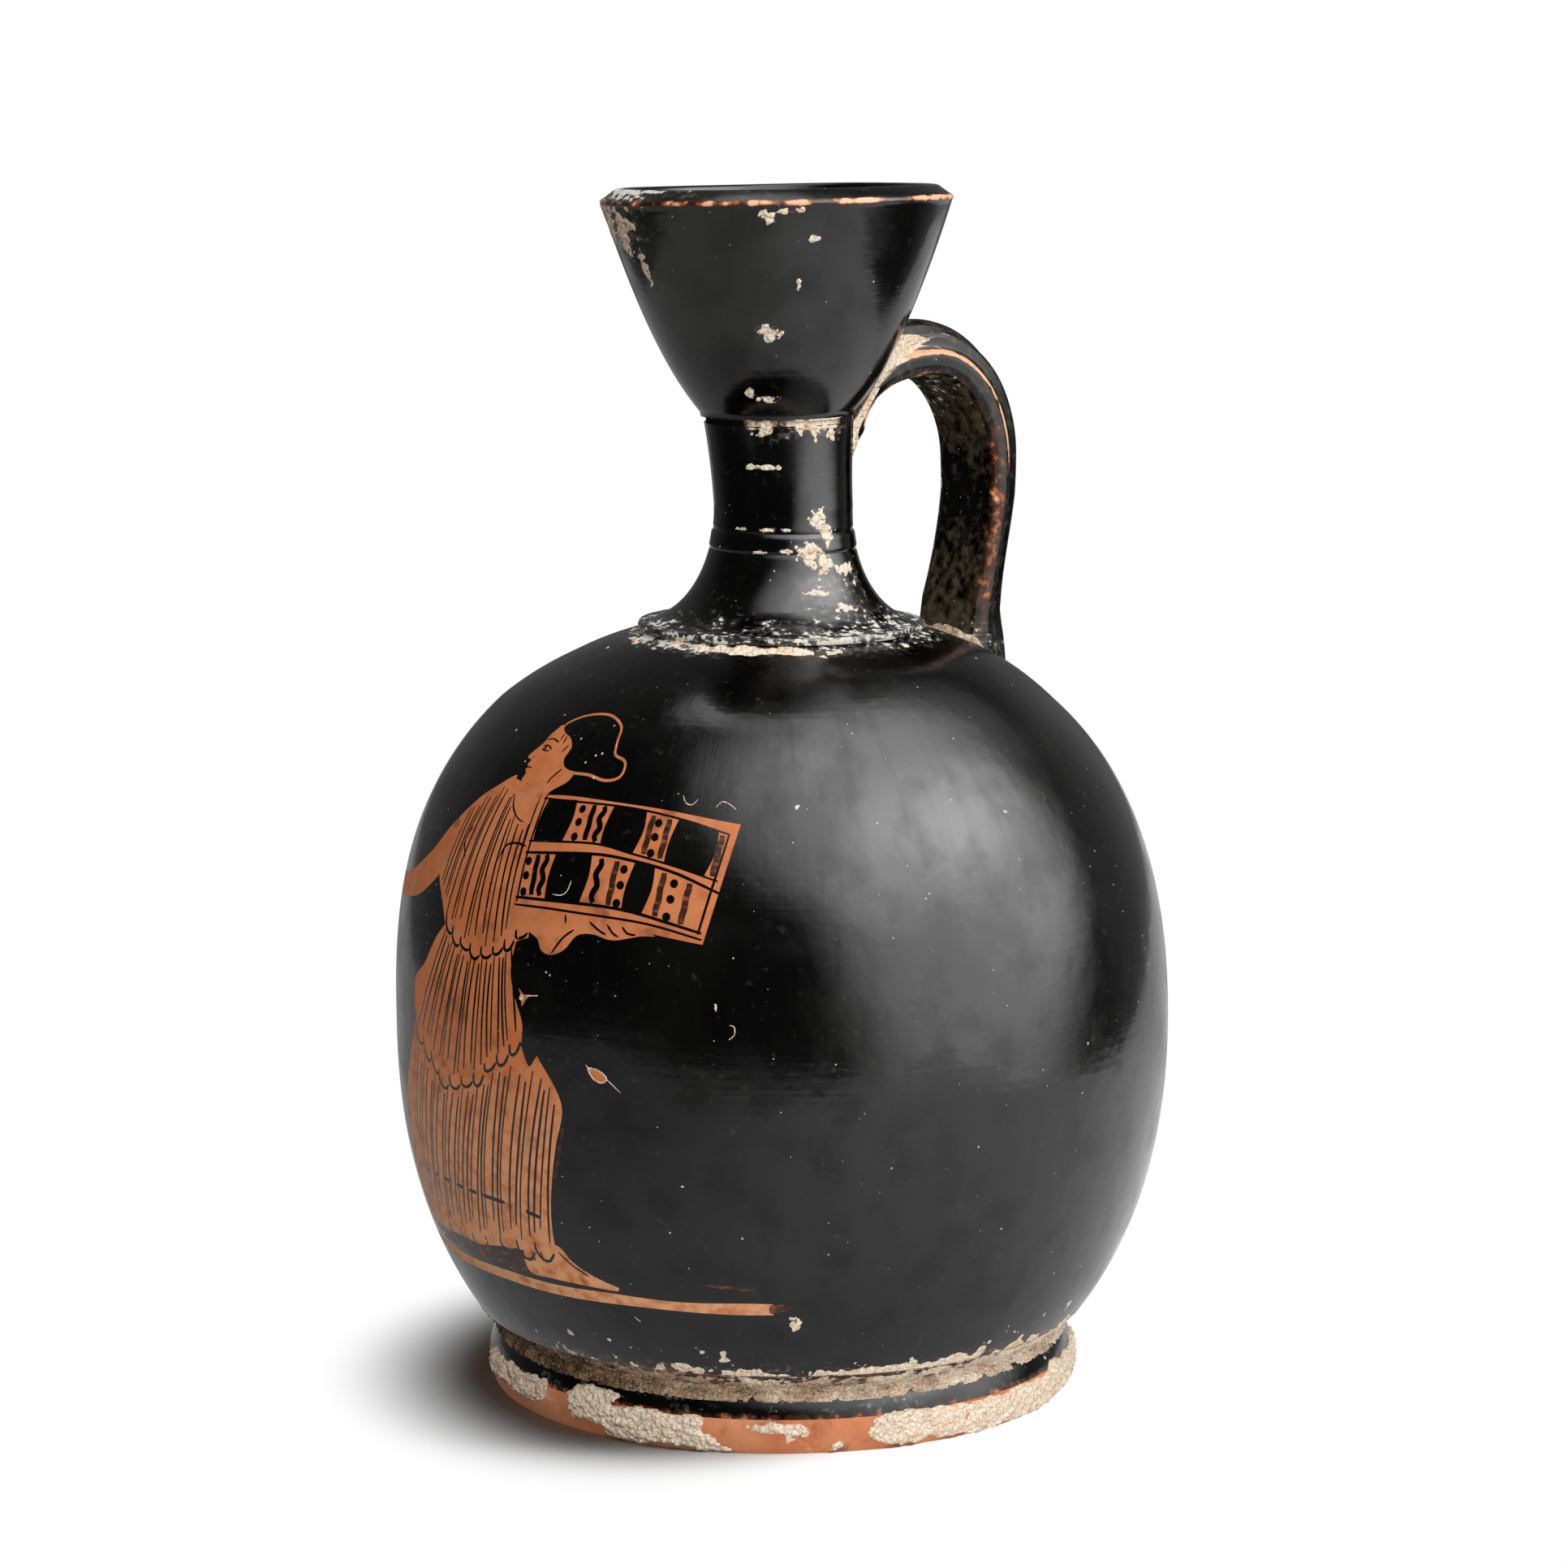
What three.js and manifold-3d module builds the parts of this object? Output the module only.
// A squat lekythos: a small one-handled oil jug of fired clay. Its foot, body, neck and mouth are
// thrown on the wheel, its handle is pulled by hand, and the five are joined by seams of luting slip.
// Millimetres, +Z up. The origin is the centre of the resting plane, and the handle points to +Y.
import * as THREE from 'three';
import { mergeVertices } from 'three/addons/utils/BufferGeometryUtils.js';
import Module from 'manifold-3d';

// Turning and joining
const SEGMENTS = 40; // facets round a turned section
const SLIP = 0.5; // thickness of a luting seam
const TURNED_GAP = 0.1; // clearance between turned sections
const CUT_GAP = 0.3; // clearance of a section trimmed to the curve of its neighbour

// Foot: a low disc with a rounded rim and a hollow underside
const FOOT_RADIUS = 40; // widest part of the rim
const FOOT_HEIGHT = 7.6;
const FOOT_BASE_INSET = 1.4; // resting edge, inside the widest part
const FOOT_TOP_INSET = 1.6; // upper edge, inside the widest part
const FOOT_LEDGE = 0.5; // upper edge showing round the seat of the body
const FOOT_RING_WIDTH = 7; // flat ring that it stands on
const FOOT_FLOOR = 4.6; // clay over the hollow
const FOOT_HOLLOW_SLOPE = 3; // run of the hollow's sloping side
const FOOT_SEAM_WIDTH = 14; // width of the luted ring

// Body: two rounded halves that meet at the belly
const BELLY_RADIUS = 51.85;
const BELLY_LEVEL = 50; // widest circle above the resting plane
const SHOULDER_RISE = 53; // belly to the point where the shoulder would close
const SHOULDER_FULLNESS = 2.42; // exponent of the curve, where 2 is an ellipse
const UNDERSIDE_DROP = 58.7; // belly to the point where the underside would close
const UNDERSIDE_FULLNESS = 2.2;
const BODY_WALL = 4;
const BODY_FLOOR = 5;
const FLOOR_FILLET = 4; // between the floor and the wall
const UNDERCUT_HEIGHT = 2.7; // groove between the body and the foot
const SHOULDER_HOLE_RADIUS = 9;

// Neck: a waisted tube with a raised ring, flaring to a collar on the shoulder
const COLLAR_RADIUS = 19;
const COLLAR_EDGE = 0.9; // height of the collar's upright edge
const NECK_LENGTH = 27.5; // collar's lower edge to the top of the neck
const NECK_RADIUS = 9.2; // at the waist
const NECK_TOP_RADIUS = 9.9;
const NECK_FLARE = 15.6; // height over which the waist opens to the collar
const RING_LEVEL = 12; // middle of the raised ring, above the collar's lower edge
const RING_HEIGHT = 2.5;
const RING_PROUD = 0.35;
const BORE_RADIUS = 5.6;
const BORE_FLARE = 6; // height over which the bore opens to the shoulder's hole

// Mouth: a deep flaring cup with a bevelled lip
const MOUTH_HEIGHT = 30.1;
const LIP_RADIUS = 23;
const LIP_WIDTH = 3.4; // lip's edge to the inside of the cup
const LIP_BEVEL = 1.7; // height of the sloping top of the lip
const LIP_EDGE = 0.5; // upright edge under the bevel
const MOUTH_SWELL_RADIUS = 17.4; // point that draws out the curve of the cup
const MOUTH_SWELL_LEVEL = 8.6;
const MOUTH_WALL = 3.6;

// Handle: a ridged strap that leaves the top of the neck, arches and lands on the shoulder
const HANDLE_WIDTH = 12.6;
const HANDLE_THICKNESS = 7; // over the middle ridge
const HANDLE_EDGE = 5.1; // over the side ridges
const HANDLE_GROOVE = 0.5; // depth of the grooves beside the middle ridge
const HANDLE_SIDE_RIDGE = 1.5; // width of each side ridge
const HANDLE_ROUND = 1.3; // rounding of the strap's edges
const HANDLE_ROOT_DROP = 2.4; // inner face leaves the neck this far below the mouth
const HANDLE_ARCH_RISE = 4.4; // top of the inner face, above the bottom of the mouth
const HANDLE_ARCH_RADIUS = 21; // distance of that top from the axis
const HANDLE_REACH = 30.4; // furthest distance of the inner face from the axis
const HANDLE_REACH_DROP = 7; // level of that furthest point, below the bottom of the mouth
const HANDLE_LANDING = 27.4; // inner face on the shoulder, from the axis
const HANDLE_BURY = 5; // run of the strap inside its neighbours, before it is trimmed
const HANDLE_STEPS = 26;

// Points taken along the curves
const BODY_STEPS = 11;
const CURVE_STEPS = 7;
const SMALL_CURVE_STEPS = 4;

const TURNED_SEAM = SLIP + 2 * TURNED_GAP;
const CUT_SEAM = SLIP + 2 * CUT_GAP;

const GLOSS = { color: '#191817', roughness: 0.3, metalness: 0 };
const CLAY = { color: '#c06f42', roughness: 0.75, metalness: 0 };
const SLIP_FINISH = { color: '#cbb898', roughness: 0.9, metalness: 0 };

const wasm = await Module();
wasm.setup();

const at = (radius, level) => new THREE.Vector2(radius, level);

// Points of a quadratic curve, from a to c, drawn towards b
function bend(a, b, c, steps) {
  return new THREE.QuadraticBezierCurve(a, b, c).getPoints(steps);
}

// Height of the body's shoulder and radius of its underside; inset is measured inwards from the outside
function shoulderLevel(radius, inset = 0) {
  const share = 1 - (radius / (BELLY_RADIUS - inset)) ** SHOULDER_FULLNESS;
  return BELLY_LEVEL + (SHOULDER_RISE - inset) * share ** (1 / SHOULDER_FULLNESS);
}

function undersideRadius(level, inset = 0) {
  const share = 1 - ((BELLY_LEVEL - level) / (UNDERSIDE_DROP - inset)) ** UNDERSIDE_FULLNESS;
  return (BELLY_RADIUS - inset) * share ** (1 / UNDERSIDE_FULLNESS);
}

// Points up the underside from a level to the belly
function undersideCurve(fromLevel, inset) {
  const points = [];
  for (let step = 0; step < BODY_STEPS; step += 1) {
    const turn = (step / BODY_STEPS) * (Math.PI / 2);
    const level = BELLY_LEVEL - (BELLY_LEVEL - fromLevel) * Math.cos(turn);
    points.push(at(undersideRadius(level, inset), level));
  }
  return points;
}

// Points up the shoulder from the belly to a radius
function shoulderCurve(toRadius, inset) {
  const widest = BELLY_RADIUS - inset;
  const power = 2 / SHOULDER_FULLNESS;
  const lastTurn = Math.acos((toRadius / widest) ** (1 / power));
  const points = [];
  for (let step = 0; step <= BODY_STEPS; step += 1) {
    const turn = (step / BODY_STEPS) * lastTurn;
    const level = BELLY_LEVEL + (SHOULDER_RISE - inset) * Math.sin(turn) ** power;
    points.push(at(widest * Math.cos(turn) ** power, level));
  }
  return points;
}

// Levels of the stacked sections
const bodyBottom = FOOT_HEIGHT + TURNED_SEAM;
const collarBottom = shoulderLevel(COLLAR_RADIUS) + TURNED_SEAM;
const neckTop = collarBottom + NECK_LENGTH;
const mouthBottom = neckTop + TURNED_SEAM;
const mouthTop = mouthBottom + MOUTH_HEIGHT;
const undercutLevel = bodyBottom + UNDERCUT_HEIGHT;

// Where the body sits on the foot, and the neck on the shoulder
const footTopRadius = FOOT_RADIUS - FOOT_TOP_INSET;
const seatRadius = footTopRadius - FOOT_LEDGE;
const collarSeatRadii = [COLLAR_RADIUS, (COLLAR_RADIUS + SHOULDER_HOLE_RADIUS) / 2, SHOULDER_HOLE_RADIUS];
const collarSeat = (lift) => collarSeatRadii.map((radius) => at(radius, shoulderLevel(radius) + lift));

function footOutline() {
  const base = FOOT_RADIUS - FOOT_BASE_INSET;
  const hollow = FOOT_HEIGHT - FOOT_FLOOR;
  const ringInner = base - FOOT_RING_WIDTH;
  const rimPoints = [at(base, 0), at(FOOT_RADIUS, FOOT_HEIGHT / 2), at(footTopRadius, FOOT_HEIGHT)];
  const rim = new THREE.SplineCurve(rimPoints);
  return [
    at(0, hollow),
    at(ringInner - FOOT_HOLLOW_SLOPE, hollow),
    at(ringInner, 0),
    ...rim.getPoints(CURVE_STEPS),
    at(0, FOOT_HEIGHT),
  ];
}

// Outside of the body, from the edge of its seat to the hole in the shoulder
function bodyOutside() {
  return [...undersideCurve(undercutLevel, 0), ...shoulderCurve(COLLAR_RADIUS, 0), ...collarSeat(0).slice(1)];
}

function bodyOutline() {
  const floorLevel = bodyBottom + BODY_FLOOR;
  const filletLevel = floorLevel + FLOOR_FILLET;
  const filletRadius = undersideRadius(filletLevel, BODY_WALL);
  const inside = [
    ...bend(
      at(filletRadius - FLOOR_FILLET, floorLevel),
      at(undersideRadius(floorLevel, BODY_WALL), floorLevel),
      at(filletRadius, filletLevel),
      SMALL_CURVE_STEPS,
    ),
    ...undersideCurve(filletLevel, BODY_WALL).slice(1),
    ...shoulderCurve(SHOULDER_HOLE_RADIUS, BODY_WALL),
  ];
  return [
    at(0, bodyBottom),
    at(seatRadius, bodyBottom),
    ...bodyOutside(),
    ...inside.reverse(),
    at(0, floorLevel),
  ];
}

// Outside of the neck, from the collar's lower edge to its top
function neckOutside() {
  const flareTop = collarBottom + NECK_FLARE;
  const flareHeight = NECK_FLARE - COLLAR_EDGE;
  const radiusAt = (level) => {
    if (level > flareTop) {
      const climb = (level - flareTop) / (neckTop - flareTop);
      return NECK_RADIUS + (NECK_TOP_RADIUS - NECK_RADIUS) * climb ** 2;
    }
    const depth = Math.min((flareTop - level) / flareHeight, 1);
    return COLLAR_RADIUS - (COLLAR_RADIUS - NECK_RADIUS) * Math.sqrt(1 - depth ** 2);
  };
  const ringBottom = collarBottom + RING_LEVEL - RING_HEIGHT / 2;
  const ringTop = ringBottom + RING_HEIGHT;
  const points = [at(COLLAR_RADIUS, collarBottom)];
  for (let step = 0; step < CURVE_STEPS; step += 1) {
    const turn = (step / CURVE_STEPS) * (Math.PI / 2);
    const level = flareTop - flareHeight * Math.cos(turn);
    if (level < ringBottom) {
      points.push(at(radiusAt(level), level));
    }
  }
  points.push(at(radiusAt(ringBottom), ringBottom));
  points.push(at(radiusAt(ringBottom) + RING_PROUD, ringBottom + RING_PROUD));
  points.push(at(radiusAt(ringTop) + RING_PROUD, ringTop - RING_PROUD));
  points.push(at(radiusAt(ringTop), ringTop));
  for (let step = 1; step <= SMALL_CURVE_STEPS; step += 1) {
    const level = ringTop + ((neckTop - ringTop) * step) / SMALL_CURVE_STEPS;
    points.push(at(radiusAt(level), level));
  }
  return points;
}

function neckOutline() {
  const [, middle, inner] = collarSeat(TURNED_SEAM);
  return [
    inner,
    middle,
    ...neckOutside(),
    at(BORE_RADIUS, neckTop),
    at(BORE_RADIUS, inner.y + BORE_FLARE),
    inner,
  ];
}

// Outside of the mouth, from its joint with the neck to the lip's edge
function mouthOutside() {
  return bend(
    at(NECK_TOP_RADIUS, mouthBottom),
    at(MOUTH_SWELL_RADIUS, mouthBottom + MOUTH_SWELL_LEVEL),
    at(LIP_RADIUS, mouthTop - LIP_BEVEL - LIP_EDGE),
    CURVE_STEPS,
  );
}

function mouthOutline() {
  const inside = bend(
    at(LIP_RADIUS - LIP_WIDTH, mouthTop - LIP_EDGE),
    at(MOUTH_SWELL_RADIUS - MOUTH_WALL, mouthBottom + MOUTH_SWELL_LEVEL),
    at(BORE_RADIUS, mouthBottom),
    CURVE_STEPS,
  );
  return [
    at(BORE_RADIUS, mouthBottom),
    ...mouthOutside(),
    at(LIP_RADIUS, mouthTop - LIP_BEVEL),
    at(LIP_RADIUS - LIP_WIDTH + LIP_EDGE, mouthTop),
    ...inside,
  ];
}

// Closed outline of a ring with a square section
function squareRing(inner, outer, bottom, top) {
  return [at(inner, bottom), at(outer, bottom), at(outer, top), at(inner, top), at(inner, bottom)];
}

// Seams of luting slip between the turned sections
function footSeamOutline() {
  const bottom = FOOT_HEIGHT + TURNED_GAP;
  const inner = seatRadius - FOOT_SEAM_WIDTH;
  return squareRing(inner, seatRadius, bottom, bottom + SLIP);
}

function neckSeamOutline() {
  const lower = collarSeat(TURNED_GAP).reverse();
  const upper = collarSeat(TURNED_GAP + SLIP);
  return [...lower, ...upper, lower[0]];
}

function mouthSeamOutline() {
  const bottom = neckTop + TURNED_GAP;
  return squareRing(BORE_RADIUS, NECK_TOP_RADIUS, bottom, bottom + SLIP);
}

// A turned section, stood upright
function turned(outline) {
  return new THREE.LatheGeometry(outline, SEGMENTS).rotateX(Math.PI / 2);
}

// An outside curve moved out along its normals, closed to the axis, as a trimming form
function trimmingForm(outside, offset) {
  const grown = outside.map((point, index) => {
    const before = outside[Math.max(index - 1, 0)];
    const after = outside[Math.min(index + 1, outside.length - 1)];
    const along = after.clone().sub(before).normalize();
    return at(point.x + along.y * offset, point.y - along.x * offset);
  });
  const first = grown[0];
  const last = grown[grown.length - 1];
  return solid(turned([at(0, first.y), ...grown, at(0, last.y)]));
}

function solid(geometry) {
  const bare = geometry.clone();
  bare.deleteAttribute('normal');
  bare.deleteAttribute('uv');
  const merged = mergeVertices(bare);
  const corners = merged.index.array;
  const triangles = [];
  for (let i = 0; i < corners.length; i += 3) {
    const [a, b, c] = corners.slice(i, i + 3);
    if (a !== b && b !== c && c !== a) {
      triangles.push(a, b, c);
    }
  }
  const vertProperties = merged.attributes.position.array;
  const triVerts = Uint32Array.from(triangles);
  return new wasm.Manifold(new wasm.Mesh({ numProp: 3, vertProperties, triVerts }));
}

function geometryOf(manifold) {
  const mesh = manifold.getMesh();
  const geometry = new THREE.BufferGeometry();
  geometry.setAttribute('position', new THREE.BufferAttribute(mesh.vertProperties, 3));
  geometry.setIndex(new THREE.BufferAttribute(mesh.triVerts, 1));
  geometry.computeVertexNormals();
  return geometry;
}

// Section of the strap: a flat inner face, rounded edges, side ridges and a domed middle ridge
function strapSection() {
  const half = HANDLE_WIDTH / 2;
  const groove = half - HANDLE_SIDE_RIDGE - HANDLE_ROUND;
  const floor = HANDLE_EDGE - HANDLE_GROOVE;
  const section = new THREE.Shape();
  section.moveTo(HANDLE_ROUND - half, 0);
  section.lineTo(half - HANDLE_ROUND, 0);
  section.quadraticCurveTo(half, 0, half, HANDLE_ROUND);
  section.lineTo(half, HANDLE_EDGE - HANDLE_ROUND);
  section.quadraticCurveTo(half, HANDLE_EDGE, half - HANDLE_ROUND, HANDLE_EDGE);
  section.lineTo(groove, floor);
  section.quadraticCurveTo(groove / 2, HANDLE_THICKNESS, 0, HANDLE_THICKNESS);
  section.quadraticCurveTo(-groove / 2, HANDLE_THICKNESS, -groove, floor);
  section.lineTo(HANDLE_ROUND - half, HANDLE_EDGE);
  section.quadraticCurveTo(-half, HANDLE_EDGE, -half, HANDLE_EDGE - HANDLE_ROUND);
  section.lineTo(-half, HANDLE_ROUND);
  section.quadraticCurveTo(-half, 0, HANDLE_ROUND - half, 0);
  return section;
}

// Run of the strap's inner face: two quarter ellipses over the arch, then down to the shoulder
function strapRun() {
  const inPlane = (radius, level) => new THREE.Vector3(0, radius, level);
  const rootLevel = mouthBottom - HANDLE_ROOT_DROP;
  const archLevel = mouthBottom + HANDLE_ARCH_RISE;
  const reachLevel = mouthBottom - HANDLE_REACH_DROP;
  const landingLevel = shoulderLevel(HANDLE_LANDING);
  const points = [inPlane(NECK_TOP_RADIUS - HANDLE_BURY, rootLevel - HANDLE_BURY)];
  for (let step = 0; step <= SMALL_CURVE_STEPS; step += 1) {
    const turn = (step / SMALL_CURVE_STEPS) * (Math.PI / 2);
    const radius = HANDLE_ARCH_RADIUS - (HANDLE_ARCH_RADIUS - NECK_TOP_RADIUS) * Math.cos(turn);
    points.push(inPlane(radius, rootLevel + (archLevel - rootLevel) * Math.sin(turn)));
  }
  for (let step = 1; step <= SMALL_CURVE_STEPS; step += 1) {
    const turn = (step / SMALL_CURVE_STEPS) * (Math.PI / 2);
    const radius = HANDLE_ARCH_RADIUS + (HANDLE_REACH - HANDLE_ARCH_RADIUS) * Math.sin(turn);
    points.push(inPlane(radius, reachLevel + (archLevel - reachLevel) * Math.cos(turn)));
  }
  points.push(inPlane(HANDLE_LANDING, landingLevel + HANDLE_BURY));
  points.push(inPlane(HANDLE_LANDING, landingLevel - 2 * HANDLE_BURY));
  return new THREE.CatmullRomCurve3(points);
}

const strap = solid(
  new THREE.ExtrudeGeometry(strapSection(), {
    steps: HANDLE_STEPS,
    curveSegments: SMALL_CURVE_STEPS,
    extrudePath: strapRun(),
  }),
);

// The strap is trimmed clear of the neck, mouth and body, and a pad of slip fills each joint
const upperForm = (offset) => trimmingForm([...neckOutside().slice(1), ...mouthOutside()], offset);
const lowerForm = (offset) => trimmingForm(bodyOutside(), offset);
const padBetween = (form) => strap.intersect(form(CUT_GAP + SLIP)).subtract(form(CUT_GAP));

const pot = new THREE.Group();

function addPiece(name, geometry, finish) {
  const piece = new THREE.Mesh(geometry, new THREE.MeshStandardMaterial(finish));
  piece.name = name;
  pot.add(piece);
}

addPiece('foot', turned(footOutline()), CLAY);
addPiece('body', turned(bodyOutline()), GLOSS);
addPiece('neck', turned(neckOutline()), GLOSS);
addPiece('mouth', turned(mouthOutline()), GLOSS);
addPiece('handle', geometryOf(strap.subtract(upperForm(CUT_SEAM)).subtract(lowerForm(CUT_SEAM))), GLOSS);
addPiece('foot_luting', turned(footSeamOutline()), SLIP_FINISH);
addPiece('neck_luting', turned(neckSeamOutline()), SLIP_FINISH);
addPiece('mouth_luting', turned(mouthSeamOutline()), SLIP_FINISH);
addPiece('handle_top_luting', geometryOf(padBetween(upperForm)), SLIP_FINISH);
addPiece('handle_base_luting', geometryOf(padBetween(lowerForm)), SLIP_FINISH);

export default pot;
